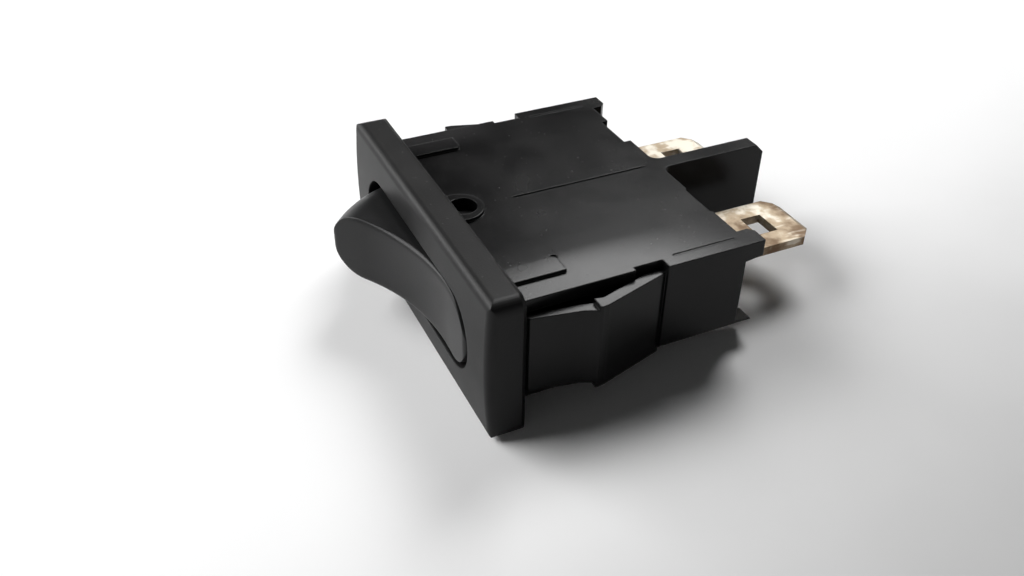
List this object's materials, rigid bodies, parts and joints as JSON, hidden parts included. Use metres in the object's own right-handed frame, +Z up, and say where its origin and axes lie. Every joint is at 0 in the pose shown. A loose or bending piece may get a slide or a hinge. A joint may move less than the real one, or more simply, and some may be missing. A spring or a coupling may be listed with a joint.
{
  "type": "rocker switch",
  "caption": "Snap-in panel rocker switch with a narrow round-ended rocker, slim rectangular bezel, sprung side arms, two flat push-on tabs and a barrier between them.",
  "frame": {"origin": "centre of the bezel's back face, where it seats on the panel", "axes": "+Y out of the back towards the tabs, +X along the bezel towards the pushed-in end of the rocker, +Z up across the width as it lies"},
  "size_m": [0.03, 0.0379, 0.0126],
  "materials": {
    "housing": "black moulded nylon, satin, lightly dusty",
    "rocker": "black moulded nylon with a fine spark-eroded grain",
    "plunger": "natural acetal",
    "spring": "drawn spring wire",
    "lever": "bare copper alloy strip",
    "contact": "silver rivet",
    "terminal": "plated brass, tarnished to a pale tan with brown patches"
  },
  "bodies": {
    "housing": {"housing": "housing", "common_terminal": "terminal", "switched_terminal": "terminal", "fixed_contact": "contact"},
    "rocker": {"rocker": "rocker", "plunger_spring": "spring"},
    "plunger": {"plunger": "plunger"},
    "lever": {"contact_lever": "lever", "moving_contact": "contact"}
  },
  "joints": [
    {"name": "rocker_hinge", "type": "hinge", "parent": "housing", "child": "rocker", "pos_m": [0, 0.0015, 0], "axis": [0, 0, -1], "range_deg": [0, 28.8]},
    {"name": "plunger_slide", "type": "slide", "parent": "rocker", "child": "plunger", "axis": [-0.2487, 0.9686, 0], "range_m": [0, 0.00047], "stiffness_N_per_m": 350, "springref_m": 0.003, "deforming": ["plunger_spring"]},
    {"name": "lever_hinge", "type": "hinge", "parent": "housing", "child": "lever", "pos_m": [0, 0.01441, 0], "axis": [0, 0, 1], "range_deg": [0, 24.1]}
  ],
  "couplings": [
    {"joint": "lever_hinge", "follows": "rocker_hinge", "ratio": 0.83333}
  ]
}
